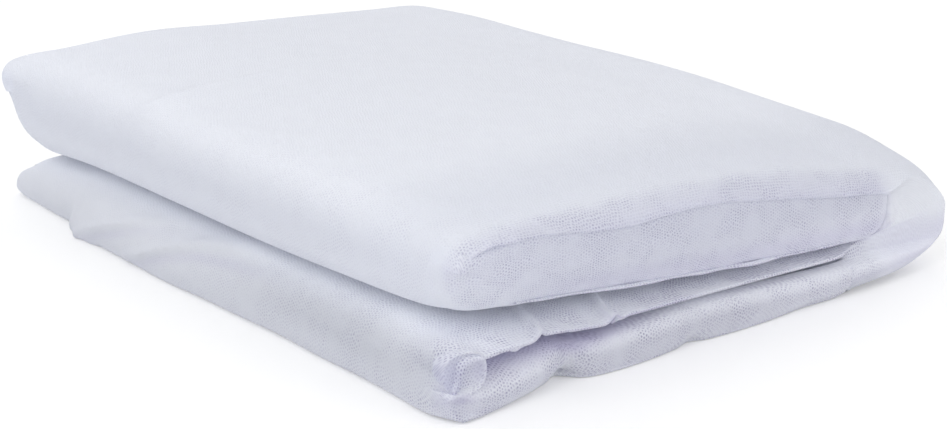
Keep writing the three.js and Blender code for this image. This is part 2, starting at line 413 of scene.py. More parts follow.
def wrap_spacing(way):
    """Row spacing: finer where the lower half's top shows its small pleats."""
    travel, depth, reach = way.T
    pleats = (travel > 2.62) & (travel < 3) & (depth > 0.9)
    lower_face_part = (travel == 3) & (depth < 1)
    return np.where(pleats | lower_face_part, 1.7, np.where(reach > 0.5, 2.6, 3.6))


WAY, LENGTH = even_way([
    lower_face(),
    run(3, 2, 1), run(2, 1, 1), run(1, 0, 1),
    upper_fold(1, 0),
    run(0, 1, 0), run(1, 2, 0), run(2, 2.93, 0),
], wrap_spacing)
TRAVEL, DEPTH, REACH = WAY.T
ON_LOWER_FACE = (TRAVEL == 3) & (LENGTH < 200)
ON_UPPER_FACE = (TRAVEL == 0) & (REACH > 0)

# How far the outer ply's edge stays behind END_Y along its way, in front and behind.
# A place on the way is 0 to 1 up the lower face, to 2 along the lower half's top, to 3
# round the inner bend, to 4 along the underside, to 5 up the upper face, to 6 along the
# top, to 7 round the bend and to 8 along the bottom.
EDGE_INSETS = {
    FRONT: ((0, 4), (0.5, 2.5), (0.8, 2), (1, 3), (1.4, 4), (1.95, 6), (2.1, 20), (2.85, 24),
            (3, 9), (3.2, 5.5), (4, 5), (4.5, 5), (4.68, 4), (4.8, 2), (4.9, 1), (6.06, 1),
            (6.15, 4), (6.3, 8), (6.5, 8), (6.8, 7), (7, 7), (8, 6)),
    BACK: ((0, 6), (0.8, 4.5), (1, 6.5), (1.8, 8), (2, 20), (2.85, 24), (3.1, 9), (4, 9),
           (4.5, 8), (4.65, 6), (4.8, 6), (5, 5), (5.15, 1), (6.06, 1), (6.15, 5), (6.3, 9),
           (6.5, 11), (6.8, 10), (7, 8), (8, 6)),
}

# The lip, where the top ply ends in front, and behind: x and height.
LIPS = {
    FRONT: ((-150, 66.5), (-141, 68.6), (-133, 71), (-124, 73), (-108, 73.2), (-95, 71.3),
            (-80, 69), (-65, 67.6), (-54, 67), (-38, 67.6), (-18, 68), (3.5, 66.3), (25, 62.7),
            (48, 59.4), (72, 55.4), (96, 52), (118, 48.5)),
    BACK: ((-158, 71), (-153, 75), (-146, 76.5), (-139, 76), (-132, 73.5), (-115, 73),
           (-60, 75), (0, 76), (60, 75.5), (118, 73)),
}


def places():
    """The place of each row of the outer ply on its way, as in EDGE_INSETS."""
    first_face = len(np.flatnonzero(ON_LOWER_FACE))
    top_face = np.flatnonzero(ON_UPPER_FACE)
    result = np.zeros(len(WAY))
    rows = np.arange(len(WAY))
    result[:first_face] = np.linspace(0, 1, first_face)
    lower = (rows >= first_face) & (rows < top_face[0])
    result[lower] = 1 + (3 - TRAVEL[lower])
    result[top_face] = np.linspace(4, 5, len(top_face))
    result[top_face[-1] + 1:] = 5 + TRAVEL[top_face[-1] + 1:]
    return result


PLACE = places()

# The lower half's front below its top ply, from the open side to the bend: how far its
# crease, its ridge and its foot are set back, the heights of the crease and the ridge,
# and how far its foot is lifted.
FOOT_COLUMNS = ("x", "crease_back", "crease_z", "ridge_back", "ridge_z", "foot_back", "lift")
FOOTS = {
    FRONT: [dict(zip(FOOT_COLUMNS, row)) for row in (
        (-150, 7, 14.0, 2.5, 11.5, 2.0, 0.0),
        (-138, 32, 22.0, 2.0, 9.0, 3.0, 0.0),
        (-124, 34, 22.5, 2.0, 9.5, 6.0, 0.0),
        (-108, 30, 22.5, 3.0, 12.0, 10.5, 0.0),
        (-96, 24, 22.5, 6.0, 15.0, 14.0, 1.5),
        (-87, 21, 20.0, 9.0, 12.5, 18.0, 4.0),
        (-80, 20, 19.5, 6.0, 12.0, 10.0, 1.0),
        (-70, 18, 19.0, 4.0, 12.0, 6.5, 0.0),
        (-50, 16, 19.5, 3.0, 12.5, 5.5, 0.0),
        (-24, 16, 20.5, 3.5, 12.5, 7.5, 0.0),
        (-13, 16, 20.5, 5.0, 12.0, 10.5, 1.2),
        (-4, 15, 20.5, 4.0, 12.5, 7.5, 0.0),
        (30, 14, 18.5, 3.5, 12.0, 6.0, 0.0),
        (62, 13, 17.0, 3.0, 11.0, 8.0, 0.5),
        (90, 12, 16.5, 3.0, 10.5, 7.5, 1.5),
        (118, 16, 17.0, 9.0, 11.5, 12.0, 5.5),
    )],
    BACK: [dict(zip(FOOT_COLUMNS, row)) for row in (
        (-150, 8, 15.0, 3.0, 10.0, 4.0, 0.0),
        (-110, 12, 17.0, 4.0, 12.0, 6.0, 0.0),
        (-40, 14, 21.0, 5.0, 13.0, 9.0, 0.0),
        (30, 14, 24.0, 3.0, 14.0, 6.0, 0.0),
        (100, 14, 26.0, 5.0, 15.0, 8.0, 1.0),
        (118, 16, 26.0, 10.0, 15.0, 12.0, 3.0),
    )],
}


def outer_columns():
    """y of each column of the outer ply, and how many lie past each corner line."""
    rolled = np.sin(np.linspace(0, np.pi / 2, 16))
    front = -CORNER_Y - rolled[::-1] * (END_Y - CORNER_Y)
    fine = np.linspace(-CORNER_Y, -150, 26)
    middle = np.linspace(-150, CORNER_Y, 120)
    back = CORNER_Y + rolled * (END_Y - CORNER_Y)
    return (np.concatenate([front[:-1], fine[:-1], middle, back[1:]]),
            len(front) - 1, len(back) - 1)


Y, FRONT_COLUMNS, BACK_COLUMNS = outer_columns()


def foot_value(end, column, x):
    """A column of FOOTS at x."""
    rows = FOOTS[end]
    return curve([row["x"] for row in rows], [row[column] for row in rows], x)


def round_off(beyond, corner):
    """How far a corner's round has come back, at a share of the way past CORNER_Y."""
    return corner * (1 - np.sqrt(1 - np.clip(beyond, 0, 0.97) ** 2))


# Creases and small pleats of the outer ply: where their crests run and how high they
# stand there. Then the width of the slope on the left and on the right of the line.
# On the lower half's face the lines are in y and z, elsewhere in x and y.
FACE_PLEATS = (
    (((118, 0, 1.3), (107, 4.5, 2.1), (93, 9.5, 2.4), (82, 13.5, 2.4), (68, 17.5, 2.3),
      (56, 21.5, 2.0), (44, 24.5, 1.4), (26, 27.5, 0.8), (8, 29, 0.0)), 1.6, 2.8),
    (((58, 3, 1.0), (46.5, 7, 1.8), (37, 10.5, 2.4), (24, 15.5, 2.6), (11, 19.5, 2.6),
      (-1, 22.8, 2.8), (-12, 24.8, 3.0), (-32, 26.8, 2.8), (-54, 28, 1.6), (-75, 29, 0.0)),
     1.6, 3.0),
)
LOWER_TOP_PLEATS = (
    (((-92, -168, 0.0), (-95.5, -176, 1.8), (-99, -184, 3.0), (-101, -190, 3.4),
      (-103, -197, 3.4), (-105.5, -204, 3.4), (-107, -209, 3.2), (-108, -214, 3.0)), 1.6, 1.9),
    (((-52, -172, 0.0), (-56, -182, 2.0), (-60, -191, 3.2), (-62.5, -198, 3.8),
      (-63.5, -204, 4.2), (-61, -209, 4.4), (-58, -214, 4.4)), 2.2, 2.6),
)
TOP_CREASES = (
    (((-153, 78, 0.0), (-146, 62, 2.6), (-134, 54, 4.0), (-114, 56, 4.2), (-93, 60, 3.4),
      (-73, 64, 2.4), (-50, 68, 1.4), (-20, 72, 0.0)), 3.0, 12.0),
    (((-133, -212, 0.4), (-121, -207, 1.0), (-106, -202, 1.0), (-91, -203, 0.8),
      (-76, -208, 0.2)), 4.0, 3.0),
    (((-20, -212, 0.2), (-1, -203, 0.9), (33, -198, 1.1), (49, -196, 0.9), (74, -200, 0.2)),
     5.0, 3.0),
    (((70, -212, 0.2), (85, -208, 0.8), (119, -202, 1.0), (140, -196, 0.4)), 5.0, 3.0),
    (((-90, -174, 0.0), (-69, -166, 1.0), (-45, -159, 1.2), (-21, -152, 0.6), (0, -148, 0.0)),
     7.0, 6.0),
    (((40, -120, 0.0), (60, -60, 0.8), (66, 0, 1.0), (60, 60, 0.6), (50, 110, 0.0)), 22.0, 20.0),
    (((-60, -60, 0.0), (-20, -40, 0.9), (20, -10, 0.8), (50, 40, 0.0)), 18.0, 16.0),
)

# How far the lip of the lower half's top steps up or down beside its pleats: x and
# height.
LIP_STEPS = ((-140, 0), (-111, -0.6), (-103.5, 1.8), (-76, -0.9), (-62, -2.2), (-55.5, 0.2),
             (-30, 0))


def crest(u, v, line, left, right):
    """Height of a crease over a surface laid out in u and v."""
    line = np.array(line, float)
    along = np.concatenate([[0], np.cumsum(np.hypot(*np.diff(line[:, :2], axis=0).T))])
    fine = np.stack([curve(along, column, np.linspace(0, along[-1], 80)) for column in line.T], 1)
    tangent = np.gradient(fine[:, :2], axis=0)
    result = np.zeros(u.shape)
    reach = 3 * max(left, right)
    near = ((u > fine[:, 0].min() - reach) & (u < fine[:, 0].max() + reach)
            & (v > fine[:, 1].min() - reach) & (v < fine[:, 1].max() + reach))
    du, dv = u[near][:, None] - fine[:, 0], v[near][:, None] - fine[:, 1]
    nearest = np.argmin(du**2 + dv**2, axis=1)
    pick = np.arange(len(nearest))
    du, dv = du[pick, nearest], dv[pick, nearest]
    side = tangent[nearest, 0] * dv - tangent[nearest, 1] * du
    width = np.where(side > 0, left, right)
    result[near] = fine[nearest, 2] * np.exp(-(du**2 + dv**2) / width**2)
    return result


def relief(x, y, z):
    """How far creases, pleats and unevenness push the outer ply out, in millimetres."""
    place_on_way = np.repeat(PLACE[:, None], x.shape[1], 1)
    lower_face_part = (place_on_way > 0.15) & (place_on_way < 1.15)
    lower_top_part = (place_on_way >= 1) & (place_on_way < 1.7)
    top_part = rises(place_on_way, 4.4, 0.3) * falls(place_on_way, 6.8, 0.3)
    out = np.zeros(x.shape)
    for line, left, right in FACE_PLEATS:
        out += lower_face_part * crest(y, z, line, left, right)
    for line, left, right in LOWER_TOP_PLEATS:
        out += lower_top_part * crest(x, y, line, left, right)
    for line, left, right in TOP_CREASES:
        out += top_part * crest(x, y, line, left, right)
    # soft unevenness of the top and of the open side's faces
    out += top_part * 0.35 * (np.sin(x / 17 + 1.3 * np.sin(y / 41)) * np.sin(y / 23 + 0.8)
                              + 0.7 * np.sin(x / 31 - y / 27 + 2) - 0.3)
    out += lower_face_part * 0.5 * np.sin(y / 15 + z / 9) * np.sin(y / 37 + 1)
    # the foot of the lower half's face stands out beside its notch
    foot = falls(z, 18, 18) * (place_on_way < 1)
    out += 4.5 * foot * falls(y, 130, 5) * rises(y, 84, 30)
    out += np.interp(x, *zip(*LIP_STEPS)) * falls(y, -186, 18) * lower_top_part
    # the roll's bulge at the front corner
    bulge = np.exp(-((x + 147) / 8) ** 2) * falls(y, -165, 35) * rises(z, 17, 8)
    out += 5.5 * bulge * (place_on_way < 1.3)
    return out


def bend_lift(x, y, z):
    """How far the bend's underside is off the surface, in front where it narrows."""
    return ((3.6 * rises(x, 80, 30) + 7 * rises(x, 130, 40))
            * falls(y, -150, 55) * falls(z, 42, 32))


def wrap_points():
    """The outer ply before its creases: a row of points for each place on its way."""
    travel, depth, reach = (np.repeat(column[:, None], len(Y), 1) for column in WAY.T)
    y = np.repeat(Y[None, :], len(WAY), 0)
    x, z = place(travel, depth, reach, y)
    bottom = np.repeat((PLACE > 6.8)[:, None], len(Y), 1)
    for end in (FRONT, BACK):
        inset = np.interp(PLACE, *zip(*EDGE_INSETS[end]))[:, None] + 0 * x
        # the selvedge along the upper half's underside is a little wavy
        waves = 0.8 * np.sin(x / 7 + 1.2 * np.sin(x / 19)) + 0.7 * np.sin(x / 23 + 1)
        selvedge = rises(PLACE, 2.9, 0.2) * falls(PLACE, 4.05, 0.1)
        inset = inset + selvedge[:, None] * (waves - 1.8 * np.exp(-((x - 20) / 22) ** 2))
        foot = foot_value(end, "foot_back", x) - 2
        inset = np.where(bottom, mix(inset, foot, falls(x, 128, 25)), inset)
        beyond = np.clip((end * y - CORNER_Y) / (END_Y - CORNER_Y), 0, 1)
        y = y - end * inset * beyond
        upper = ease(1.6 * reach / EDGE_REACH) * (travel < 1)
        lower = ease(1.6 * reach / LOWER_REACH) * (travel > 2)
        x = (x + upper * round_off(beyond, upper_corner(z))
             + lower * round_off(beyond, LOWER_CORNER))
    # by the far corner the upper half's face leans out: its foot lies further in and its
    # top further out
    rise = (z - 24) / 55
    lean = rises(y, 170, 40) * ease(reach / 20) * (travel < 1) * (depth > 0)
    x = x - lean * mix(-13, 6, np.clip(rise, 0, 1))
    # the upper half's far corner is fuller by its top
    full = rises(y, 150, 50) * ease(reach / 12) * (travel < 1)
    x = x - 2 * full * np.exp(-((z - 75) / 8) ** 2)
    for end in (FRONT, BACK):
        # the top ply rolls down to its lip
        edge = np.argmax(end * Y)
        lip = np.interp(x[:, edge], *zip(*LIPS[end]))
        drop = (np.maximum(z[:, edge] - lip, 0) * rises(PLACE, 4.8, 0.2)
                * falls(PLACE, 6.2, 0.14))
        beyond = np.clip((end * Y - CORNER_Y) / (END_Y - CORNER_Y), 0, 1)
        rolled = (beyond**2 + 1 - np.sqrt(1 - beyond**2)) / 2
        z = z - drop[:, None] * rolled
    return np.stack([x, y, z + 0.3 + bend_lift(x, y, z)], -1)


WRAP = wrap_points()
WRAP = WRAP + normals(WRAP) * relief(*np.moveaxis(WRAP, 2, 0))[..., None]
WRAP[..., 2] = np.maximum(WRAP[..., 2], 0.2)


def arc_lengths(grid, axis, zero):
    """Distance along a grid's lines on one axis, from the line number "zero"."""
    steps = np.linalg.norm(np.diff(grid, axis=axis), axis=2)
    along = np.insert(np.cumsum(steps, axis=axis), 0, 0, axis=axis)
    return along - np.take(along, [zero], axis=axis)


def wrap_uv():
    """UV by length, measured from a line on top of the pad and one on its lower face."""
    centre = int(np.argmax(Y > 0))
    upper = arc_lengths(WRAP, 0, int(np.argmax(PLACE > 5.5)))
    zero = int(np.argmax(PLACE > 0.5))
    lower = arc_lengths(WRAP, 0, zero) + upper[zero, centre]
    u = mix(lower, upper, ease(PLACE - 2)[:, None])
    return np.stack([u, arc_lengths(WRAP, 1, centre)], -1)


WRAP_UV = wrap_uv()

# The outer ply's hems along its way: where, how round they are, how far they turn over
# and how wide the cloth beyond is.
HEMS = ((0.0, 1.2, 2.6, 5), (0.4, 0.7, 1.2, 1), (1.0, 0.7, 1.2, 1), (1.06, 0.8, 2.8, 5),
        (2.0, 0.8, 2.8, 5), (2.2, 0.4, 2.6, 2), (4.5, 0.35, 2.9, 2), (4.8, 0.8, 2.9, 4),
        (6.06, 0.8, 2.9, 5), (7.0, 1.2, 2.9, 5), (8.0, 1.0, 2.6, 5))


def end_strip(rows, end):
    """The outer ply between the corner line and its edge."""
    columns = slice(0, FRONT_COLUMNS + 1) if end == FRONT else slice(-BACK_COLUMNS - 1, None)
    return WRAP[rows, columns], WRAP_UV[rows, columns]


def end_edges(first, last, end):
    """The outer ply's strip past the corner line for a range of rows, with its hem."""
    rows = slice(first, last)
    strip, uv = end_strip(rows, end)
    at_edge, before_edge = (0, 1) if end == FRONT else (-1, -2)
    edge, edge_uv = strip[:, at_edge], uv[:, at_edge]
    inward = -normals(WRAP)[rows, at_edge]
    forward = edge - strip[:, before_edge]
    forward = forward / np.linalg.norm(forward, axis=1, keepdims=True)
    at, *sizes = zip(*HEMS)
    radius, turn, width = (np.interp(PLACE[rows], at, size)[:, None] for size in sizes)
    curl = hem(edge, inward, forward, radius, turn, width)
    curl_uv, before, far = [], edge, edge_uv
    for row in curl:
        step = np.linalg.norm(row - before, axis=1)
        far = far + np.stack([0 * step, end * step], 1)
        curl_uv.append(far)
        before = row
    hemmed = np.stack([edge, *curl], 1)
    hemmed_uv = np.stack([edge_uv, *curl_uv], 1)
    if end == FRONT:
        hemmed, hemmed_uv = hemmed[:, ::-1], hemmed_uv[:, ::-1]
    return [(strip, uv), (hemmed, hemmed_uv)]


# ---------------------------------------------------------------- the faces at both ends

CORNER_COLUMNS = 15           # how many columns of a face turn round the corner
UPPER_FAR = 124               # where the faces end under the bend's end
LOWER_FAR = 114


def spread_uv(grid, start_uv, end):
    """Even UV of a surface that carries on from the outer ply's edge."""
    even = start_uv[-1, 0] + arc_lengths(grid, 0, len(grid) - 1)
    uv = np.repeat(start_uv[:, None], grid.shape[1], 1)
    uv[..., 0] = mix(uv[..., 0], even, ease(np.arange(grid.shape[1]) / 12))
    uv[..., 1] += end * arc_lengths(grid, 1, 0)
    return uv


def face_uv(grid, start_uv, end):
    """UV of a face: even along its lowest row, and straight along x past the corner."""
    u = start_uv[-1, 0] - arc_lengths(grid, 0, len(grid) - 1)
    past = CORNER_COLUMNS - 1
    shift = grid[:, past, 0] - grid[-1, past, 0]
    v = start_uv[-1, 1] + end * (arc_lengths(grid, 1, past) + shift[:, None])
    return np.stack([u, v], -1)


def face(start, start_uv, end, at, corner, far_x, turn, columns, tail):
    """A face that starts on the outer ply at the open side and turns round the corner.

    "start" holds the points to start from, and "corner"(z) is how far the corner is
    rounded off. "at"(share, x) gives the face's y and z at an x, for a share from 0 at
    its top row to 1 at its lowest one. At "far_x" the face turns inward with the radius
    "turn" and runs on for "tail"."""
    step = np.concatenate([[0], np.cumsum(np.linalg.norm(np.diff(start, axis=0), axis=1))])
    share = step / step[-1]
    grid = [start]
    corner = corner(start[:, 2])
    corner_y, corner_z = at(share, start[:, 0] + corner)
    for angle in np.linspace(0, np.pi / 2, CORNER_COLUMNS)[1:]:
        x = start[:, 0] + corner * (1 - np.cos(angle))
        y = start[:, 1] + (corner_y - start[:, 1]) * np.sin(angle)
        z = mix(start[:, 2], corner_z, ease(angle / (np.pi / 2)))
        grid.append(np.stack([x, y, z], 1))
    far_x = far_x + 0 * share
    for q in np.linspace(0, 1, columns)[1:]:
        x = mix(start[:, 0] + corner, far_x, q)
        y, z = at(share, x)
        grid.append(np.stack([x, y, z], 1))
    for angle in np.linspace(0, np.pi / 2, 8)[1:]:
        grid.append(np.stack([far_x + turn * np.sin(angle),
                              y - end * turn * (1 - np.cos(angle)), z], 1))
    for q in (0.3, 0.6, 1):
        grid.append(np.stack([far_x + turn, y - end * (turn + tail * q), z], 1))
    grid = np.stack(grid, 1)
    return grid[::-end], face_uv(grid, start_uv, end)[::-end]


def under_at(x, y):
    """Height of the upper half's underside."""
    return heights((x - UPPER_START) / (RUN_END - UPPER_START), y)[1]


# How far the upper half's end face is set back behind the outer ply, from its top row,
# tucked under the outer ply, to its lowest one. Behind, it lies further out.
UPPER_SHARES = (0.0, 0.08, 0.25, 0.50, 0.72, 0.88, 1.0)
UPPER_SETBACKS = {FRONT: (9, 4.8, 4.2, 4.2, 4.8, 6.5, 9.5), BACK: (12, 8, 6, 5, 4, 6, 11)}
UPPER_SETBACKS_CORNER = (8.0, 5.0, 3.8, 3.0, 3.0, 5.0, 9.0)

# How far down the lower half's end face its crease, ridge and foot lie, with the rows
# between them.
LOWER_SHARES = (0.0, 0.22, 0.42, 0.62, 0.82, 0.95, 1.0)


def upper_face_at(end):
    """The upper half's end face, as face() asks for it."""
    def at(share, x):
        fullness = rises(x, -150, 70)
        setback = curve(UPPER_SHARES, UPPER_SETBACKS[end], share)
        at_corner = curve(UPPER_SHARES, UPPER_SETBACKS_CORNER, share)
        setback = mix(at_corner, setback, fullness) + 2 * rises(x, 112, 8)
        y = end * (END_Y + 2 - setback)
        lip = np.interp(x, *zip(*LIPS[end])) + 3
        bottom = under_at(x, end * END_Y + 0 * x)
        return y, mix(lip, bottom, share)
    return at


def lower_face_at(end):
    """The lower half's end face below its top ply, as face() asks for it."""
    def at(share, x):
        crease_back, crease, ridge_back, ridge, foot_back, lift = (
            foot_value(end, column, x) for column in FOOT_COLUMNS[1:])
        back = [crease_back, mix(crease_back, ridge_back, 0.75), ridge_back, ridge_back + 0.3,
                mix(ridge_back, foot_back, 0.55), foot_back, foot_back + 5]
        height = [crease, mix(crease, ridge, 0.35), ridge, mix(ridge, lift, 0.40),
                  mix(ridge, lift, 0.80), lift + 0.8, lift + 0.3]
        y = end * (END_Y + 2 - curve(LOWER_SHARES, back, share))
        return y, curve(LOWER_SHARES, height, share)
    return at


# Where the outer ply's edge lies at the ends of the bend, which it covers: the place on
# its way, then x and height.
CAP_EDGES = {
    FRONT: ((6.06, 118.4, 48.8), (6.2, 118.2, 42), (6.35, 117.6, 34), (6.45, 111, 28),
            (6.55, 103, 23.8), (6.65, 97, 19), (6.8, 94, 12), (6.95, 93, 6.5), (7.03, 93, 3)),
    BACK: ((6.06, 118.4, 66), (6.2, 118.2, 56), (6.35, 117.6, 46), (6.45, 111, 38),
           (6.55, 103, 33), (6.65, 97, 27), (6.8, 94, 16), (6.95, 93, 8), (7.03, 93, 3)),
}


def bend_cap(end, rows):
    """The outer ply's end over the bend, drawn in over the plies' edges like a pillow's."""
    column = 0 if end == FRONT else -1
    start, start_uv = WRAP[rows, column], WRAP_UV[rows, column]
    at, edge_x, edge_z = zip(*CAP_EDGES[end])
    x, z = curve(at, edge_x, PLACE[rows]), curve(at, edge_z, PLACE[rows])
    share = np.linspace(0, 1, 60)
    y = []
    for far, height in zip(x, z):
        face_y, face_z = lower_face_at(end)(share, far + 0 * share)
        low_y = np.interp(height, face_z[::-1], face_y[::-1]) + 0.4 * end
        y.append(mix(low_y, end * (END_Y - 3.4), rises(height, 22, 8)))
    y = np.array(y)
    grid = []
    for angle in np.linspace(0, np.pi / 2, 16):
        drawn = 1 - np.cos(angle)
        grid.append(np.stack([mix(start[:, 0], x, drawn), mix(start[:, 1], y, np.sin(angle)),
                              mix(start[:, 2], z, drawn)], 1))
    for back in (1.2, 3, 8):
        grid.append(np.stack([x - 0.4, y - end * back, z], 1))
    grid = np.stack(grid, 1)
    return grid[::end], spread_uv(grid, start_uv, end)[::end]


def wrap_parts():
    """The grids of the whole sheet, but for the end of its roll."""
    parts = [(WRAP[:, FRONT_COLUMNS:len(Y) - BACK_COLUMNS],
              WRAP_UV[:, FRONT_COLUMNS:len(Y) - BACK_COLUMNS])]
    upper_rows = np.flatnonzero(ON_UPPER_FACE)
    foot = int(np.flatnonzero(ON_LOWER_FACE & (REACH > 0.75 * LOWER_REACH))[0])
    cap = (int(np.flatnonzero(PLACE >= CAP_EDGES[FRONT][0][0])[0]),
           int(np.flatnonzero(PLACE >= CAP_EDGES[FRONT][-1][0])[0]))
    for end in (FRONT, BACK):
        column = FRONT_COLUMNS if end == FRONT else len(Y) - BACK_COLUMNS - 1
        edge = WRAP[:, 0 if end == FRONT else -1]
        roll_foot = int(np.flatnonzero(ON_LOWER_FACE & (DEPTH < ROLL_FOOT[end]))[-1])
        slit = int(np.flatnonzero(ON_UPPER_FACE & (edge[:, 2] > SLIT_HEIGHT[end]))[0])
        rows = slice(foot, roll_foot + 1)
        parts.append(face(WRAP[rows, column][::-1], WRAP_UV[rows, column][::-1], end,
                          at=lower_face_at(end), corner=lower_corner, far_x=LOWER_FAR,
                          turn=7, columns=90, tail=12))
        rows = slice(upper_rows[0] - 1, min(slit + 5, upper_rows[-1]))
        parts.append(face(WRAP[rows, column][::-1], WRAP_UV[rows, column][::-1], end,
                          at=upper_face_at(end), corner=upper_corner, far_x=UPPER_FAR,
                          turn=3, columns=80, tail=14))
        # the roll's rim, the lower half's lip and the slit between the halves
        parts += end_edges(roll_foot, upper_rows[0], end)
        # the lip on top, the bend's end and the bottom
        parts += end_edges(slit, cap[0] + 1, end)
        rows = slice(cap[0], cap[1] + 1)
        parts += [end_strip(rows, end), bend_cap(end, rows)]
        parts += end_edges(cap[1], len(WAY), end)
    return parts


ROLL_CENTRE = (-146.2, 21.2)  # x and height of the middle of the roll's end
ROLL_HALF_SIZE = (9.4, 9.2)   # half its width and half its height
ROLL_SQUARENESS = 0.85
ROLL_INNER_Y = -206.6         # where the roll's end lies beside the open side

# The roll's end, from its middle outwards and then back along its side: how far out each
# ring lies, as a share of the half size, and its y.
ROLL_RINGS = ((0.02, -206.2), (0.3, -206.0), (0.6, -206.3), (0.82, -207.0), (0.9, -208),
              (0.95, -209), (1.0, -209.3), (1.04, -208.8), (1.04, -207), (1.0, -204),
              (0.93, -200), (0.85, -196))


def roll():
    """The end of the roll in the lower half's face, with the ply inside it.

    Beside the open side it runs on under the outer ply, without a rim."""
    angle = np.linspace(0, 2 * np.pi, 49)
    sine, cosine = np.sin(angle), np.cos(angle)
    across = np.sign(cosine) * np.abs(cosine) ** ROLL_SQUARENESS
    upward = np.sign(sine) * np.abs(sine) ** ROLL_SQUARENESS
    beside = np.maximum(-cosine, 0) ** 0.7
    rings = []
    for radius, y in ROLL_RINGS:
        wide = radius * (1 + 0.10 * beside)
        x = ROLL_CENTRE[0] + ROLL_HALF_SIZE[0] * wide * across
        z = ROLL_CENTRE[1] + ROLL_HALF_SIZE[1] * radius * upward
        back = mix(y, max(y, ROLL_INNER_Y + 3 * max(radius - 0.82, 0)), beside)
        rings.append(np.stack([x, back, z], -1))
    grid = np.stack(rings, 0)
    uv = np.stack([grid[..., 0], grid[..., 2] + grid[..., 1]], -1)
    return grid, uv


# ---------------------------------------------------------------- look

PITCH = 1.7 * MM              # from one hole of the netting to the next
THREAD = (0.905, 0.925, 0.985)
# the holes' colour: painted shade of the plies seen through them
HOLE_SHADE = (0.425, 0.405, 0.565)
PAINTED_SHADE = (0.74, 0.705, 0.84)   # painted shade: what the netting's colour is multiplied by where shade falls
SECOND_TURN = 0.07            # how far the ply below is turned, and its coarser pitch
SECOND_PITCH = PITCH * 1.03
SECOND_SHIFT = (0.0007, 0.0004, 0)
THREAD_RELIEF = 0.0004        # how far the threads stand out


class Nodes:
    """Short ways to add shader nodes to a material."""

    def __init__(self, material):
        self.tree = material.node_tree

    def add(self, kind, **settings):
        node = self.tree.nodes.new("ShaderNode" + kind)
        for name, value in settings.items():
            setattr(node, name, value)
        return node

    def feed(self, socket, value):
        if isinstance(value, bpy.types.NodeSocket):
            self.tree.links.new(value, socket)
        else:
            socket.default_value = value

    def math(self, operation, *values, clamp=False):
        node = self.add("Math", operation=operation, use_clamp=clamp)
        for socket, value in zip(node.inputs, values):
            self.feed(socket, value)
        return node.outputs[0]

    def vector(self, operation, *values):
        node = self.add("VectorMath", operation=operation)
        for socket, value in zip(node.inputs, values):
            self.feed(socket, value)
        return node.outputs["Value" if operation == "LENGTH" else "Vector"]

    def scaled(self, vector, scale):
        node = self.add("VectorMath", operation="SCALE")
        self.feed(node.inputs[0], vector)
        self.feed(node.inputs["Scale"], scale)
        return node.outputs["Vector"]

    def turned(self, vector, angle):
        node = self.add("VectorRotate", rotation_type="Z_AXIS")
        self.feed(node.inputs["Vector"], vector)
        node.inputs["Angle"].default_value = angle
        return node.outputs["Vector"]

    def range(self, value, low, high, to_low=0.0, to_high=1.0, smooth=True):
        node = self.add("MapRange", interpolation_type="SMOOTHSTEP" if smooth else "LINEAR")
        for socket, number in zip(node.inputs, (value, low, high, to_low, to_high)):
            self.feed(socket, number)
        return node.outputs[0]

    def noise(self, vector, scale, detail):
        node = self.add("TexNoise")
        self.feed(node.inputs["Vector"], vector)
        node.inputs["Scale"].default_value = scale
        node.inputs["Detail"].default_value = detail
        return node.outputs

    def wander(self, vector, scale, detail, size):
        """A small uneven shift of the cloth, up to half of "size" each way."""
        colour = self.noise(vector, scale, detail)["Color"]
        return self.scaled(self.vector("SUBTRACT", colour, (0.5, 0.5, 0.5)), size)

    def attribute(self, name):
        return self.add("Attribute", attribute_name=name).outputs["Fac"]

    def blend(self, share, a, b):
        node = self.add("Mix", data_type="RGBA")
        self.feed(node.inputs[0], share)
        self.feed(node.inputs[6], a)
        self.feed(node.inputs[7], b)
        return node.outputs[2]


def holes(nodes, cloth, pitch, low, high):
    """1 in the holes of a ply of hexagonal netting and 0 on its threads."""
    cell = (1.0, math.sqrt(3), 1.0)
    half = tuple(v / 2 for v in cell)
    back = tuple(-v for v in half)
    p = nodes.scaled(cloth, 1 / pitch)
    a = nodes.vector("WRAP", p, half, back)
    b = nodes.vector("WRAP", nodes.vector("ADD", p, half), half, back)
    near = nodes.math("MINIMUM", nodes.vector("LENGTH", nodes.vector("MULTIPLY", a, (1, 1, 0))),
                      nodes.vector("LENGTH", nodes.vector("MULTIPLY", b, (1, 1, 0))))
    return nodes.range(near, low, high, 1.0, 0.0)


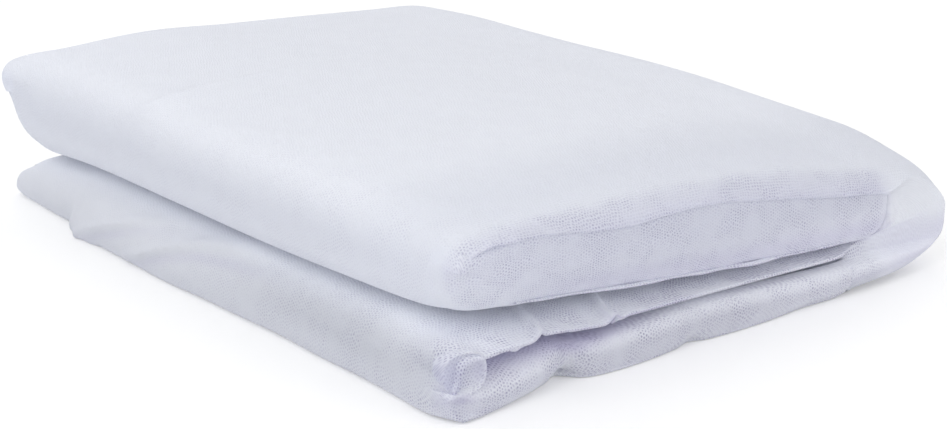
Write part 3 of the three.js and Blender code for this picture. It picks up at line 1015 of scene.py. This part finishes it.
def netting():
    """White netting of two plies, whose holes, painted shade and sheerness vary over the piece.

    Its holes are painted in the shaded colour of the plies behind them.
    """
    material = bpy.data.materials.new("netting")
    material.use_nodes = True
    nodes = Nodes(material)
    shader = material.node_tree.nodes["Principled BSDF"]
    output = material.node_tree.nodes["Material Output"]
    cloth = nodes.add("UVMap", uv_map="Cloth").outputs[0]
    shift = nodes.vector("ADD", nodes.wander(cloth, 28, 2, 0.004),
                         nodes.wander(cloth, 210, 1, 0.0028))
    first = holes(nodes, nodes.vector("ADD", cloth, shift), PITCH, 0.20, 0.42)
    under = nodes.turned(nodes.vector("ADD", cloth, SECOND_SHIFT), SECOND_TURN)
    second = holes(nodes, nodes.vector("SUBTRACT", under, nodes.scaled(shift, 0.6)),
                   SECOND_PITCH, 0.16, 0.42)
    seen = nodes.math("MULTIPLY", first, nodes.range(second, 0, 1, 0.45, 1.0, smooth=False))
    patches = nodes.noise(cloth, 60, 2)["Fac"]
    seen = nodes.math("MULTIPLY", seen, nodes.range(patches, 0.36, 0.62, 0.35, 1.2))
    # how much of the holes' painted shade shows, from the "open" attribute
    seen = nodes.math("MULTIPLY", seen, nodes.attribute("open"))
    colour = nodes.blend(seen, (*THREAD, 1), (*HOLE_SHADE, 1))
    # painted shade: darker and more lavender where the shade attribute says
    shade = nodes.blend(nodes.attribute("painted_shade"), (1, 1, 1, 1), (*PAINTED_SHADE, 1))
    colour = nodes.vector("MULTIPLY", colour, shade)
    nodes.feed(shader.inputs["Base Color"], colour)
    shader.inputs["Roughness"].default_value = 0.85
    shader.inputs["Specular IOR Level"].default_value = 0.2
    bump = nodes.add("Bump")
    bump.inputs["Strength"].default_value = 0.45
    bump.inputs["Distance"].default_value = THREAD_RELIEF
    nodes.feed(bump.inputs["Height"], nodes.math("SUBTRACT", 1.0, first))
    nodes.feed(shader.inputs["Normal"], bump.outputs[0])
    through = nodes.add("BsdfTranslucent")
    nodes.feed(through.inputs["Color"], colour)
    mixed = nodes.add("MixShader")
    nodes.feed(mixed.inputs[0], nodes.attribute("thin"))
    nodes.feed(mixed.inputs[1], shader.outputs[0])
    nodes.feed(mixed.inputs[2], through.outputs[0])
    nodes.feed(output.inputs["Surface"], mixed.outputs[0])
    return material


net = make_piece("net_plies", [*wrap_parts(), roll()], netting())

# ---------------------------------------------------------------- stage

FLOOR_LIFT = 0.15             # what the floor's white gains where the camera sees it
FLOOR_HALF_SIZE = 6           # in metres, as are the places and sizes of the lamps
WORLD_LIGHT = 0.80
LAMPS = (                     # name, place, size and power
    ("left", (-2.3, -0.4, 1.75), 2.5, 22.5),
    ("back", (1.3, 2.0, 1.7), 2.0, 7),
    ("front", (0.8, -2.2, 0.9), 1.5, 6),
)

# The camera looks at a point that lies VIEW_RIGHT to the right of the pad's middle and
# VIEW_DOWN below it, as the camera sees them.
CAMERA_AZIMUTH = math.radians(-38.39)
CAMERA_ELEVATION = math.radians(17.54)
CAMERA_DISTANCE = 975.14
CAMERA_LENS = 68.43
CAMERA_SENSOR = 36
MIDDLE = (4, 0, 35)
VIEW_RIGHT, VIEW_DOWN = 14.12, 25.47


def white_floor():
    """A white floor that looks whiter to the camera than the light on it makes it."""
    material = bpy.data.materials.new("floor")
    material.use_nodes = True
    nodes = Nodes(material)
    shader = material.node_tree.nodes["Principled BSDF"]
    shader.inputs["Base Color"].default_value = (0.92, 0.92, 0.92, 1)
    shader.inputs["Roughness"].default_value = 1
    path = nodes.add("LightPath")
    seen = nodes.math("MAXIMUM", path.outputs["Is Camera Ray"],
                      nodes.math("MAXIMUM", path.outputs["Is Glossy Ray"],
                                 path.outputs["Is Transmission Ray"]))
    shader.inputs["Emission Color"].default_value = (1, 1, 1, 1)
    nodes.feed(shader.inputs["Emission Strength"], nodes.math("MULTIPLY", seen, FLOOR_LIFT))
    return material


def floor():
    mesh = bpy.data.meshes.new("floor")
    size = FLOOR_HALF_SIZE
    mesh.from_pydata([(-size, -size, 0), (size, -size, 0), (size, size, 0), (-size, size, 0)],
                     [], [(0, 1, 2, 3)])
    mesh.materials.append(white_floor())
    thing = bpy.data.objects.new("floor", mesh)
    bpy.context.scene.collection.objects.link(thing)


def aim(thing, at):
    """Turn a camera or a lamp towards a point."""
    thing.rotation_euler = (Vector(at) - thing.location).to_track_quat("-Z", "Y").to_euler()


def lamp(name, where, size, power):
    """A round lamp that shines at the pad."""
    data = bpy.data.lights.new(name, "AREA")
    data.shape = "DISK"
    data.size = size
    data.energy = power
    thing = bpy.data.objects.new(name, data)
    thing.location = where
    bpy.context.scene.collection.objects.link(thing)
    aim(thing, (0, 0, 0))


def camera():
    level = math.cos(CAMERA_ELEVATION)
    back = np.array([math.sin(CAMERA_AZIMUTH) * level, -math.cos(CAMERA_AZIMUTH) * level,
                     math.sin(CAMERA_ELEVATION)])
    right = np.array([math.cos(CAMERA_AZIMUTH), math.sin(CAMERA_AZIMUTH), 0.0])
    up = np.cross(back, right)
    target = np.array(MIDDLE) + right * VIEW_RIGHT - up * VIEW_DOWN
    data = bpy.data.cameras.new("camera")
    data.sensor_width = CAMERA_SENSOR
    data.lens = CAMERA_LENS
    thing = bpy.data.objects.new("camera", data)
    thing.location = (target + back * CAMERA_DISTANCE) * MM
    bpy.context.scene.collection.objects.link(thing)
    aim(thing, target * MM)
    bpy.context.scene.camera = thing


def surroundings():
    """Even white light from all around."""
    world = bpy.data.worlds.new("world")
    world.use_nodes = True
    background = world.node_tree.nodes["Background"]
    background.inputs["Color"].default_value = (1, 1, 1, 1)
    background.inputs["Strength"].default_value = WORLD_LIGHT
    bpy.context.scene.world = world


floor()
camera()
for settings in LAMPS:
    lamp(*settings)
surroundings()
bpy.context.scene.view_settings.view_transform = "Standard"
